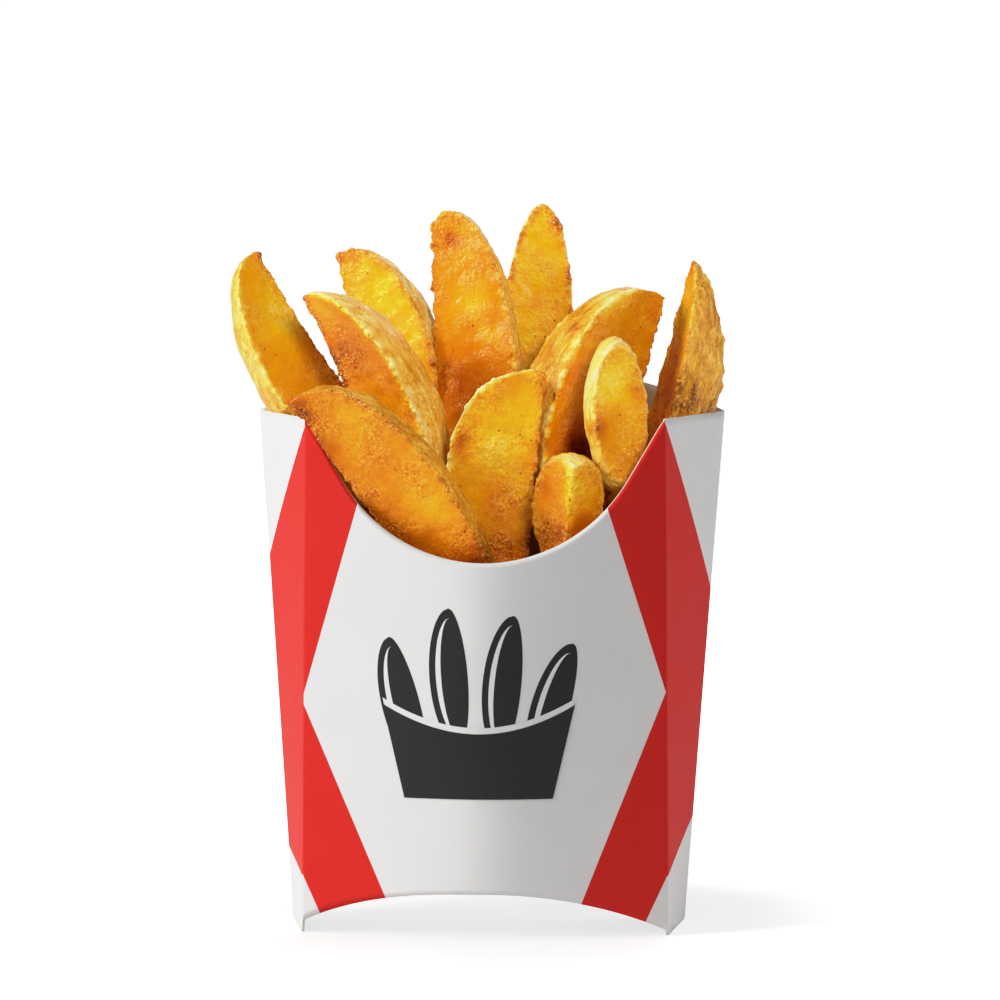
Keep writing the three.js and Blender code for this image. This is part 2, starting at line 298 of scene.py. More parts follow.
# the top and the bottom of the band on each side panel, from front to back
side_fold = {-1: ((0, 117.0), (32.9, 84.3)), 1: ((0, 117.9), (31.8, 76.8))}
side_foot = {-1: ((0, 13.2), (22.8, 16.4)), 1: ((0, 13.7), (24, 24.2))}
front_foot = {-1: ((-41.9, 13.2), (-37.9, 4.4)), 1: ((41.9, 13.7), (37.2, 3.7))}
back_hexagon = {side: ((side * 39, 119), (side * 50.6, 54), (side * 29, 8)) for side in (-1, 1)}
back_fold = {-1: ((-53, 84.3), (-44, 125)), 1: ((53, 76.8), (42, 125))}
back_foot = {-1: ((-47.7, 16.4), (-42, 4)), 1: ((48.3, 24.2), (41, 4))}


def height_on(line, across):
    (x0, z0), (x1, z1) = line
    return z0 + (z1 - z0) * (across - x0) / (x1 - x0)


def cut_panel(panel, line):
    # cuts a panel's faces along a line, so that the print ends in a clean edge
    along_side = panel in (left_panel, right_panel)
    start, end = (
        front_middle + Vector((0, across, up) if along_side else (across, 0, up)) * mm for across, up in line
    )
    normal = (end - start).cross(Vector((1, 0, 0) if along_side else (0, 1, 0)))
    faces = [face for face in walls.faces if face[panel_layer] == panel]
    edges = {edge for face in faces for edge in face.edges}
    verts = {vert for face in faces for vert in face.verts}
    bmesh.ops.bisect_plane(walls, geom=faces + list(edges) + list(verts), dist=2e-6,
                           plane_co=start, plane_no=normal.normalized())


for side in (-1, 1):
    side_panel = left_panel if side < 0 else right_panel
    for line in (side_fold[side], side_foot[side]):
        cut_panel(side_panel, line)
    for line in (hexagon[side][:2], hexagon[side][1:], front_foot[side]):
        cut_panel(front_panel, line)
    for line in (back_hexagon[side][:2], back_hexagon[side][1:], back_fold[side], back_foot[side]):
        cut_panel(back_panel, line)


def is_red(panel, centre):
    place = (centre - front_middle) / mm
    side = -1 if place.x < 0 else 1
    if panel in (left_panel, right_panel):
        return height_on(side_foot[side], place.y) < place.z < height_on(side_fold[side], place.y)
    corners = hexagon[side] if panel == front_panel else back_hexagon[side]
    foot = front_foot[side] if panel == front_panel else back_foot[side]
    line = corners[:2] if place.z > corners[1][1] else corners[1:]
    (x0, z0), (x1, z1) = line
    edge = x0 + (x1 - x0) * (place.z - z0) / (z1 - z0)
    if side * place.x < side * edge:
        return False
    if panel == back_panel and place.z > corners[1][1] and place.z > height_on(back_fold[side], place.x):
        return False
    return place.z > height_on(foot, place.x)


for face in walls.faces:
    if is_red(face[panel_layer], face.calc_center_median()):
        face.material_index = 1


def add_node(tree, kind, sockets=None, **settings):
    # makes a shader node. A socket's value is a number, a colour or the output that feeds it.
    made = tree.nodes.new(kind)
    for key, value in settings.items():
        setattr(made, key, value)
    for key, value in (sockets or {}).items():
        if isinstance(value, bpy.types.NodeSocket):
            tree.links.new(value, made.inputs[key])
        else:
            made.inputs[key].default_value = value
    return made


def arithmetic(tree, operation, *terms, clamp=False):
    made = add_node(tree, "ShaderNodeMath", dict(enumerate(terms)), operation=operation, use_clamp=clamp)
    return made.outputs[0]


def noise_of(tree, place, scale, detail=2, roughness=0.5, distortion=0.0):
    made = add_node(tree, "ShaderNodeTexNoise", {
        "Vector": place, "Scale": scale, "Detail": detail, "Roughness": roughness,
        "Distortion": distortion,
    })
    return made.outputs["Fac"]


def spread_of(tree, value, amount):
    # a pattern from 0 to 1 turned into one that swings by amount round zero
    return arithmetic(tree, "MULTIPLY_ADD", value, amount, -amount / 2)


def tones(tree, level, stops):
    ramp = add_node(tree, "ShaderNodeValToRGB", {"Fac": level})
    elements = ramp.color_ramp.elements
    while len(elements) < len(stops):
        elements.new(1)
    for element, (position, color) in zip(elements, stops):
        element.position = position
        element.color = (*color, 1)
    return ramp.outputs["Color"]


def mixed(tree, share, first, second, kind="MIX"):
    made = add_node(tree, "ShaderNodeMix", {0: share, 6: first, 7: second}, data_type="RGBA",
                    blend_type=kind)
    return made.outputs[2]


def board_finish(name, color, roughness, specular, cloudiness=0.03, fibre=0.05):
    # coated board or ink on it: faint clouds a few centimetres wide, and the grain of its fibres
    cloud_scale, fibre_scale = 60, 1600
    roughness_swing = 0.16
    fibre_height = 0.2 * mm
    material, tree, shader = finish_named(name, roughness, specular)
    place = add_node(tree, "ShaderNodeTexCoord").outputs["Object"]
    clouds = noise_of(tree, place, cloud_scale, 3)
    grit = noise_of(tree, place, fibre_scale, 2, 0.6)
    paler = tuple(min(c * (1 + cloudiness), 1) for c in color)
    darker = tuple(c * (1 - cloudiness) for c in color)
    level = arithmetic(tree, "ADD", clouds, spread_of(tree, grit, 0.5), clamp=True)
    tree.links.new(tones(tree, level, [(0.2, darker), (0.8, paler)]), shader.inputs["Base Color"])
    rough = arithmetic(tree, "MULTIPLY_ADD", clouds, roughness_swing, roughness - roughness_swing / 2)
    tree.links.new(rough, shader.inputs["Roughness"])
    bump = add_node(tree, "ShaderNodeBump", {"Strength": fibre, "Distance": fibre_height, "Height": grit})
    tree.links.new(bump.outputs["Normal"], shader.inputs["Normal"])
    return material


white_board = board_finish("white_board", (0.85, 0.845, 0.83), 0.48, 0.4)
red_print = board_finish("red_print", (0.76, 0.026, 0.02), 0.55, 0.12)
inner_board = board_finish("inner_board", (0.66, 0.60, 0.50), 0.75, 0.25, 0.06, 0.15)
cut_edge = board_finish("cut_edge", (0.80, 0.74, 0.64), 0.85, 0.2, 0.08, 0.2)


def placed(name, bm, *materials):
    # makes an object of a mesh that is already in its place, and lets it ride with the carton
    piece = loose_object(name, bm)
    for material in materials:
        piece.data.materials.append(material)
    for polygon in piece.data.polygons:
        polygon.use_smooth = True
    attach(piece, "root")
    return piece


def give_thickness(piece, thickness, inside, rim):
    # inside and rim say how many material slots after a face's own its inner side and its cut edge come
    wall = piece.modifiers.new("thickness", "SOLIDIFY")
    wall.thickness = thickness
    wall.offset = -1
    wall.use_even_offset = True
    wall.material_offset = inside
    wall.material_offset_rim = rim


carton = placed("folded_carton", walls, white_board, red_print, inner_board, inner_board, cut_edge)
give_thickness(carton, board, 2, 4)
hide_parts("carton")

# ---------- carton bottom ----------
# The bottom panel of the same blank, pushed up between the arched edges of the front and back panels
# and held there by its spring.

bottom_inset = 0.9 * board      # so that its edges run into the walls
bottom = bmesh.new()
bmesh.ops.create_grid(bottom, x_segments=60, y_segments=24, size=0.5)
for vert in bottom.verts:
    u, v = 2 * vert.co.x, vert.co.y + 0.5
    vert.co = carton_point(u, v, arch_height(u, v), bottom_inset)
# its white outer face is the lower one
bottom.normal_update()
if sum(face.normal.z for face in bottom.faces) > 0:
    bmesh.ops.reverse_faces(bottom, faces=bottom.faces)
bottom_panel = placed("bottom_panel", bottom, white_board, inner_board, cut_edge)
give_thickness(bottom_panel, board, 1, 2)

# ---------- printed mark ----------
# A plain black pictogram in the middle of the front panel: four potato wedges that stand in a carton, with
# a white line along the skin of each. It is ink, modelled as thin films, one over the other, each a few
# hundredths of a millimetre above the last.

ink_rise = 0.03 * mm
black, white = 0, 1             # material slots
mark_foot = (-1.2, -10.0)       # the point that the wedges fan out from, across the panel and up, in mm
wedge_reach, line_reach = 16.0, 13.8
# how far the edges of a black wedge, and those of its white line, bow out to both sides
wedge_edges, line_edges = (-5.6, 3.2), (-4.1, -2.9)
edge_fullness = 0.55
# how far each wedge leans to the right, and how far from the foot its middle is
mark_wedges = ((-14.5, 66), (-4.5, 70.5), (5.5, 69), (15.5, 65))
cup_low, cup_high, cup_dip = 32.5, 54.0, 6.5
cup_half = (17.0, 22.0)         # half widths at its foot and its top
cup_gap = 1.4                   # of bare board between the wedges and the cup


def add_film(films, shape, color):
    # adds a shape to the films of ink. The shape is used up.
    for face in shape.faces:
        face.material_index = color
    mesh = bpy.data.meshes.new("film")
    shape.to_mesh(mesh)
    shape.free()
    films.from_mesh(mesh)
    bpy.data.meshes.remove(mesh)


def ink_wedge(films, lean, middle, reach, edges, rise, color):
    # a shape between two bowed edges, leaning to the right
    shape = bmesh.new()
    bmesh.ops.create_grid(shape, x_segments=16, y_segments=64, size=1)
    turn = math.radians(lean)
    for vert in shape.verts:
        bow = max(1 - vert.co.y ** 2, 0) ** edge_fullness
        x = mix(*edges, (vert.co.x + 1) / 2) * bow
        z = middle + vert.co.y * reach
        vert.co = Vector((mark_foot[0] + x * math.cos(turn) + z * math.sin(turn), rise,
                          mark_foot[1] - x * math.sin(turn) + z * math.cos(turn)))
    bmesh.ops.remove_doubles(shape, verts=shape.verts, dist=1e-4)
    add_film(films, shape, color)


def ink_cup(films, spare, rise, color):
    # the carton of the pictogram, wider at its top, with a hollowed upper edge
    cup = bmesh.new()
    bmesh.ops.create_grid(cup, x_segments=28, y_segments=8, size=1)
    for vert in cup.verts:
        across, up = vert.co.x, (vert.co.y + 1) / 2
        top = cup_high + spare - cup_dip * (1 - across * across)
        vert.co = Vector((mark_foot[0] + across * mix(*cup_half, up), rise, mix(cup_low, top, up)))
    add_film(films, cup, color)


ink = bmesh.new()
for lean, middle in mark_wedges:
    ink_wedge(ink, lean, middle, wedge_reach, wedge_edges, ink_rise, black)
    ink_wedge(ink, lean, middle, line_reach, line_edges, 2 * ink_rise, white)
ink_cup(ink, cup_gap, 3 * ink_rise, white)
ink_cup(ink, 0, 4 * ink_rise, black)
for vert in ink.verts:
    rise, up = vert.co.y, vert.co.z * mm
    u = vert.co.x * mm / mix(*front_half, up / side_height)
    vert.co = carton_point(u, 0, up) - Vector((0, rise, 0))
ink.normal_update()
bmesh.ops.reverse_faces(ink, faces=[face for face in ink.faces if face.normal.y > 0])
black_ink = board_finish("black_ink", (0.018, 0.016, 0.015), 0.42, 0.4, 0.15)
mark = placed("printed_mark", ink, black_ink, white_board)

# ---------- wedges below ----------
# Skin-on wedges, each a sector cut lengthwise from a potato and fried: two flat cut faces, browned and
# crumbly along their rims, and a paler, streaky skin. These lie deep in the carton and carry the rest.


def potato_frame(shape):
    # the potato's length, and the matrix from its own axes: across, towards the back and along
    base = front_middle + Vector(shape["base"]) * mm
    axis = front_middle + Vector(shape["tip"]) * mm - base
    length = axis.length
    axis.normalize()
    back = Vector((0, 1, 0))
    back = (back - axis * back.dot(axis)).normalized()
    right = back.cross(axis)
    return length, Matrix.Translation(base) @ Matrix((right, back, axis)).transposed().to_4x4()


# A wedge's shape, in mm and degrees, with places measured from front_middle. base and tip are its ends,
# girth its two radii, wide how far up it is widest, and blunt how blunt its two ends are (0.5 is round).
# ridge is where its cuts meet, spread the sector that they leave, and sway how far its middle bends to the
# right. browning_and_painted_light darkens all of it, and lip_tone and ridge_tone its rims. patches and bumps
# are spots on it, each (across, up, reach, amount): patches of brown, of painted shade low between the wedges
# and of painted highlight and sheen, and bumps of height.
plain_shape = {
    "wide": 0.5, "blunt": (0.5, 0.5), "ridge": (0, 0), "sway": 0,
    "browning_and_painted_light": 0.0, "lip_tone": 0.1, "ridge_tone": 0.25, "patches": (), "bumps": (),
}


coarse_steps = (48, 32)         # enough for what is only cut away, or evened out in the heap


def cut_wedge(shape, grow=0.0, around_steps=96, along_steps=64):
    # a whole potato, made from a sphere and grown on all sides, with two cuts that meet at the wedge's ridge
    length, place = potato_frame(shape)
    radius_x, radius_y = (girth * mm + grow for girth in shape["girth"])
    start, end = (math.radians(angle) for angle in shape["spread"])
    wide = shape["wide"]
    wedge = bmesh.new()
    bmesh.ops.create_uvsphere(wedge, u_segments=around_steps, v_segments=along_steps, radius=1)
    for vert in wedge.verts:
        x, y, along = vert.co
        ring = max(1 - along * along, 0)
        # a sphere's rings shrink as the square root of ring
        swell = ring ** (shape["blunt"][0 if along < 0 else 1] - 0.5) if ring > 1e-9 else 0
        half = wide if along < 0 else 1 - wide
        height = wide * length + along * (half * length + grow)
        vert.co = Vector((x * swell * radius_x, y * swell * radius_y, height))
    set_back = grow / math.sin((end - start) / 2)
    ridge = Vector((shape["ridge"][0] * mm - set_back * math.cos((start + end) / 2),
                    shape["ridge"][1] * mm - set_back * math.sin((start + end) / 2), 0))
    for normal in ((math.sin(start), -math.cos(start), 0), (-math.sin(end), math.cos(end), 0)):
        everything = wedge.verts[:] + wedge.edges[:] + wedge.faces[:]
        cut = bmesh.ops.bisect_plane(wedge, geom=everything, dist=1e-7, plane_co=ridge, plane_no=normal,
                                     clear_outer=True)
        rim = [item for item in cut["geom_cut"] if isinstance(item, bmesh.types.BMEdge)]
        bmesh.ops.contextual_create(wedge, geom=rim)
    bmesh.ops.triangulate(wedge, faces=wedge.faces)
    for vert in wedge.verts:
        share = min(max(vert.co.z / length, 0), 1)
        vert.co.x += shape["sway"] * mm * 4 * share * (1 - share)
    wedge.transform(place)
    bmesh.ops.recalc_face_normals(wedge, faces=wedge.faces)
    return wedge


def mesh_points(mesh, field="co"):
    points = np.empty(len(mesh.vertices) * 3)
    mesh.vertices.foreach_get(field, points)
    return points.reshape(-1, 3)


def boxes_meet(first, second):
    (low, high), (other_low, other_high) = (
        (points.min(0), points.max(0)) for points in (mesh_points(first.data), mesh_points(second.data))
    )
    return all(low < other_high) and all(other_low < high)


def pressed(body, cutters, voxel=0.0):
    # the mesh of a body less its cutters, evened out where voxel is given. The body is used up.
    for cutter in cutters:
        if boxes_meet(body, cutter):
            cut = body.modifiers.new("cut", "BOOLEAN")
            cut.operation = "DIFFERENCE"
            cut.object = cutter
            cut.solver = "EXACT"
    if voxel:
        even = body.modifiers.new("even", "REMESH")
        even.mode = "VOXEL"
        even.voxel_size = voxel
    bpy.context.view_layer.update()
    evaluated = body.evaluated_get(bpy.context.evaluated_depsgraph_get())
    mesh = bpy.data.meshes.new_from_object(evaluated)
    drop(body)
    return mesh


def drop(item):
    mesh = item.data
    bpy.data.objects.remove(item)
    bpy.data.meshes.remove(mesh)


def wedge_marks(points, shape):
    # for points near a wedge, in mm: how far outside it each lies, how far from the rim of its skin and from
    # the ridge between its cuts, how much of it is skin, and its place along the grain of the skin
    skin_blend, far_off = 0.8, 50
    length, place = potato_frame(shape)
    inverse = np.array(place.inverted())
    local = (points @ inverse[:3, :3].T + inverse[:3, 3]) / mm
    length /= mm
    x, y, z = local.T
    share = np.clip(z / length, 0, 1)
    x = x - shape["sway"] * 4 * share * (1 - share)
    wide = shape["wide"] * length
    along = np.where(z < wide, (z - wide) / wide, (z - wide) / (length - wide))
    blunt = np.where(z < wide, *shape["blunt"])
    ring = np.clip(1 - along ** 2, 1e-6, 1) ** blunt
    girth = sum(shape["girth"]) / 2
    to_skin = (ring - np.hypot(x / shape["girth"][0], y / shape["girth"][1])) * girth
    start, end = (math.radians(angle) for angle in shape["spread"])
    dx, dy = x - shape["ridge"][0], y - shape["ridge"][1]
    to_start = -(math.sin(start) * dx - math.cos(start) * dy)
    to_end = -(-math.sin(end) * dx + math.cos(end) * dy)
    to_cut = np.minimum(to_start, to_end)
    lip = np.clip(np.maximum(to_skin, to_cut), 0, far_off)
    ridge = np.clip(np.maximum(to_start, to_end) / math.sin(min(end - start, math.pi / 2)), 0, far_off)
    skin = np.clip((to_cut - to_skin) / skin_blend + 0.5, 0, 1)
    middle = (start + end) / 2
    turn = np.arctan2(y * math.cos(middle) - x * math.sin(middle),
                      x * math.cos(middle) + y * math.sin(middle))
    round_skin = turn * np.hypot(x, y)
    return -np.minimum(to_skin, to_cut), lip, ridge, skin, np.stack([round_skin, to_skin, z], axis=1)


def noise_field(points, size, shift=0):
    # smooth noise from about -1 to 1 at points in mm, for features of a size in mm. Each shift gives another
    # pattern.
    return np.array([noise.noise(Vector(point)) for point in (points + shift) / size])


def keep_inside(points, inset):
    # moves points that would lie in or beyond the board back inside it, below its edges
    local = points - np.array(front_middle)
    x, y, z = local.T
    rise = z / side_height
    half_front = mix(*front_half, rise)
    half_back = mix(*back_half, rise)
    depth = mix(*carton_depth, rise)
    v = np.clip(y / depth, 0, 1)
    half = mix(half_front, half_back, v) - inset
    low = z < side_height
    x = np.where(low, np.clip(x, -half, half), x)
    u = np.clip(x / (half + inset), -1, 1)
    front = -front_bow * front_bulge(u) + inset
    back = depth + back_bow * (1 - u * u) - inset
    front_edge = np.array([front_top(value) for value in x])
    back_edge = np.array([back_top(value) for value in x])
    y = np.where((z < front_edge) & (y < front), front, y)
    y = np.where((z < back_edge) & (y > back), back, y)
    return np.stack([x, y, z], axis=1) + np.array(front_middle)


def set_attribute(mesh, name, values, kind="FLOAT"):
    attribute = mesh.attributes.new(name, kind, "POINT")
    attribute.data.foreach_set("value" if kind == "FLOAT" else "vector", np.ascontiguousarray(values).ravel())


def smoothed(mesh, times):
    soft = bmesh.new()
    soft.from_mesh(mesh)
    for _ in range(times):
        bmesh.ops.smooth_vert(soft, verts=soft.verts, factor=0.5, use_axis_x=True, use_axis_y=True,
                              use_axis_z=True)
    soft.to_mesh(mesh)
    soft.free()


smoothing_times = 8
lip_width, ridge_width = 1.25, 1.6      # of the crumbly rims, in mm
pucker_width = 3.0
board_gap = 0.12 * mm                   # between the crust and the board
# painted shade: wedges are darker by shade_tone low in the scoop, from shade_start mm above its edge down
shade_tone, shade_start, shade_fade = 0.26, 9, 14


def spot_at(place, across, up, reach):
    # a round spot that fades from 1 at its middle, as seen from the front
    away = np.hypot(place[:, 0] - across, place[:, 2] - up) / reach
    return np.exp(-away ** 2)


def fried(name, mesh, shapes, material, roughing=1.0):
    # gives a wedge's mesh, or a heap of them, its crust, and stores where it is skin, crisp and browned, with
    # painted shade and painted highlight kept in the browning
    smoothed(mesh, smoothing_times)
    points, normals = mesh_points(mesh), mesh_points(mesh, "normal")
    marks = [wedge_marks(points, shape) for shape in shapes]
    nearest = np.argmin([np.abs(mark[0]) for mark in marks], axis=0)
    every_point = np.arange(len(points))
    lip_far, ridge_far, skin, grain = (
        np.stack([mark[item] for mark in marks])[nearest, every_point] for item in (1, 2, 3, 4)
    )
    browning_and_painted_light, lip_tone, ridge_tone = (
        np.array([shape[key] for shape in shapes])[nearest] for key in ("browning_and_painted_light", "lip_tone", "ridge_tone")
    )
    place = (points - np.array(front_middle)) / mm
    bumps = 0
    for shape in shapes:
        # patches add brown, painted shade and painted highlight
        for *spot, amount in shape["patches"]:
            browning_and_painted_light = browning_and_painted_light + amount * spot_at(place, *spot)
        for *spot, height in shape["bumps"]:
            bumps = bumps + height * spot_at(place, *spot)

    # all heights and sizes are in mm
    lip = np.exp(-(lip_far / lip_width) ** 2)
    ridge = np.exp(-(ridge_far / ridge_width) ** 2)
    rim = np.maximum(lip, ridge)
    flesh = 1 - skin
    crisp = np.clip(0.32 + 0.9 * noise_field(place, 6, 300) + 0.7 * rim + 0.15 * skin, 0, 1)
    coarse = noise_field(place, 2.5, 120)
    small = noise_field(place, 0.95, 160)
    lumps = 0.5 * noise_field(place, 9)
    dents = 0.2 * noise_field(place, 3.2, 40)
    grit = 0.17 * small * crisp
    crumbs = rim * (0.5 * coarse + 0.3 * small * np.clip(0.5 + 1.6 * coarse, 0.1, 1.2) + 0.1)
    wrinkles = skin * (0.26 * noise_field(grain * np.array([1, 1, 0.4]), 1.7, 200)
                       + 0.3 * noise_field(grain * np.array([1, 1, 0.5]), 4.2, 240))
    puckered = flesh * -0.4 * (1 - np.exp(-np.minimum(lip_far, ridge_far) / pucker_width))
    rise = (lumps + dents + grit + crumbs + wrinkles + puckered) * roughing + bumps
    points = keep_inside(points + normals * rise[:, None] * mm, board + board_gap)
    mesh.vertices.foreach_set("co", points.ravel())
    mesh.update()
    if len(shapes) == 1:
        # painted shade: the wedges that show are darker low in the scoop, where they lie close together
        scoop_edge = np.array([front_top(across * mm) for across in place[:, 0]]) / mm
        shade = np.clip((scoop_edge + shade_start - place[:, 2]) / shade_fade, 0, 1)
        browning_and_painted_light = browning_and_painted_light + shade_tone * shade
    browning_and_painted_light = browning_and_painted_light + lip * lip_tone * (0.8 + 1.6 * coarse) + ridge * ridge_tone * (0.8 + 1.2 * small)

    set_attribute(mesh, "skin", skin)
    set_attribute(mesh, "crisp", crisp)
    set_attribute(mesh, "browning_and_painted_light", browning_and_painted_light)
    set_attribute(mesh, "grain", grain, "FLOAT_VECTOR")
    piece = bpy.data.objects.new(name, mesh)
    mesh.name = name
    scene.collection.objects.link(piece)
    lit_food.objects.link(piece)
    mesh.materials.clear()
    mesh.materials.append(material)
    mesh.polygons.foreach_set("use_smooth", np.ones(len(mesh.polygons), dtype=bool))
    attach(piece, "root")
    return piece


# from pale to burnt
flesh_tones = [
    (0.0, (0.93, 0.68, 0.12)),
    (0.2, (0.84, 0.5, 0.008)),
    (0.4, (0.79, 0.32, 0.003)),
    (0.6, (0.68, 0.19, 0.002)),
    (0.78, (0.46, 0.085, 0.001)),
    (1.0, (0.13, 0.012, 0.001)),
]
skin_tones = [
    (0.0, (0.96, 0.82, 0.42)),
    (0.28, (0.88, 0.6, 0.13)),
    (0.5, (0.79, 0.39, 0.03)),
    (0.74, (0.54, 0.18, 0.008)),
    (1.0, (0.15, 0.03, 0.003)),
]


crumb_glint_color = (0.95, 0.7, 0.16, 1)
speck_color = (0.07, 0.012, 0.002, 1)
speck_limit = 0.72          # the share of the cells that hold no speck
crust_roughness = 0.25


def potato_finish(name, flesh=0.43, skin=0.45, mottle=0.35, streaks=0.55):
    # flesh and skin say how dark each is on its scale of tones, mottle and streaks how uneven
    material, tree, shader = finish_named(name, crust_roughness, 0.34)
    place = add_node(tree, "ShaderNodeTexCoord").outputs["Object"]

    def stored(attribute, output="Fac"):
        return add_node(tree, "ShaderNodeAttribute", attribute_name=attribute).outputs[output]

    def added(level, pattern, amount, share):
        # the level plus a pattern that swings by amount, as strong as the share says
        return arithmetic(tree, "MULTIPLY_ADD", spread_of(tree, pattern, amount), share, level)

    # patterns from a centimetre down to a crumb, with scales per metre, and one stretched along the skin
    crisp, on_skin = stored("crisp"), stored("skin")
    broad = noise_of(tree, place, 90, 3, 0.5, 0.4)
    middle = noise_of(tree, place, 330, 4, 0.62)
    grains = noise_of(tree, place, 1350, 3, 0.62)
    fine = noise_of(tree, place, 2300, 2, 0.5)
    stretched = add_node(tree, "ShaderNodeMapping", {"Vector": stored("grain", "Vector"),
                                                     "Scale": (0.7, 0.7, 0.24)}).outputs["Vector"]
    lines = noise_of(tree, stretched, 1.0, 5, 0.66, 0.8)

    level = arithmetic(tree, "ADD", stored("browning_and_painted_light"), spread_of(tree, broad, 0.3))
    level = added(level, middle, mottle * 2, arithmetic(tree, "MULTIPLY_ADD", crisp, 0.6, 0.4))
    level = added(level, grains, 0.9, crisp)
    cut_color = tones(tree, arithmetic(tree, "ADD", level, flesh, clamp=True), flesh_tones)

    level = added(level, lines, streaks * 2.1, 1)
    # thin brown creases where the skin has shrunk
    off_line = arithmetic(tree, "ABSOLUTE", arithmetic(tree, "SUBTRACT", lines, 0.5))
    crease = arithmetic(tree, "MULTIPLY_ADD", off_line, -40, 1, clamp=True)
    level = arithmetic(tree, "MULTIPLY_ADD", crease, 0.1, level)
    skin_color = tones(tree, arithmetic(tree, "ADD", level, skin, clamp=True), skin_tones)
    color = mixed(tree, on_skin, cut_color, skin_color)

    # pale crumbs on the crisp parts that also stand as painted glints, and small dark specks of seasoning and
    # singed crumb
    crumb_glint = arithmetic(tree, "MULTIPLY_ADD", fine, 9, -5.0, clamp=True)
    crumb_glint = arithmetic(tree, "MULTIPLY", arithmetic(tree, "MULTIPLY", crumb_glint, crisp), 0.7)
    color = mixed(tree, crumb_glint, color, crumb_glint_color)
    jitter = arithmetic(tree, "MULTIPLY", middle, 1.2 * mm)
    strewn = add_node(tree, "ShaderNodeVectorMath", {0: place, 1: jitter}, operation="ADD").outputs[0]
    cells = add_node(tree, "ShaderNodeTexVoronoi", {"Vector": strewn, "Scale": 430, "Randomness": 1})
    draw = add_node(tree, "ShaderNodeSeparateColor", {"Color": cells.outputs["Color"]}).outputs["Red"]
    chosen = arithmetic(tree, "GREATER_THAN", draw, speck_limit)
    dot = arithmetic(tree, "MULTIPLY_ADD", cells.outputs["Distance"], -14, 1.9, clamp=True)
    speck = arithmetic(tree, "MULTIPLY", chosen, dot)
    color = mixed(tree, arithmetic(tree, "MULTIPLY", speck, 0.9), color, speck_color)
    tree.links.new(color, shader.inputs["Base Color"])

    rough = arithmetic(tree, "MULTIPLY_ADD", middle, 0.3, crust_roughness - 0.15)
    tree.links.new(arithmetic(tree, "MULTIPLY_ADD", crisp, 0.1, rough), shader.inputs["Roughness"])
    relief = arithmetic(tree, "MULTIPLY_ADD", arithmetic(tree, "MULTIPLY", grains, crisp), 0.8, middle)
    relief = arithmetic(tree, "MULTIPLY_ADD", arithmetic(tree, "MULTIPLY", on_skin, lines), 0.9, relief)
    bump = add_node(tree, "ShaderNodeBump", {"Strength": 0.8, "Distance": 0.6 * mm, "Height": relief})
    tree.links.new(bump.outputs["Normal"], shader.inputs["Normal"])
    shader.inputs["Specular Tint"].default_value = (1, 0.84, 0.45, 1)
    shader.inputs["Subsurface Weight"].default_value = 0.12
    shader.inputs["Subsurface Radius"].default_value = (1.0, 0.35, 0.08)
    shader.inputs["Subsurface Scale"].default_value = 1.2 * mm
    return material


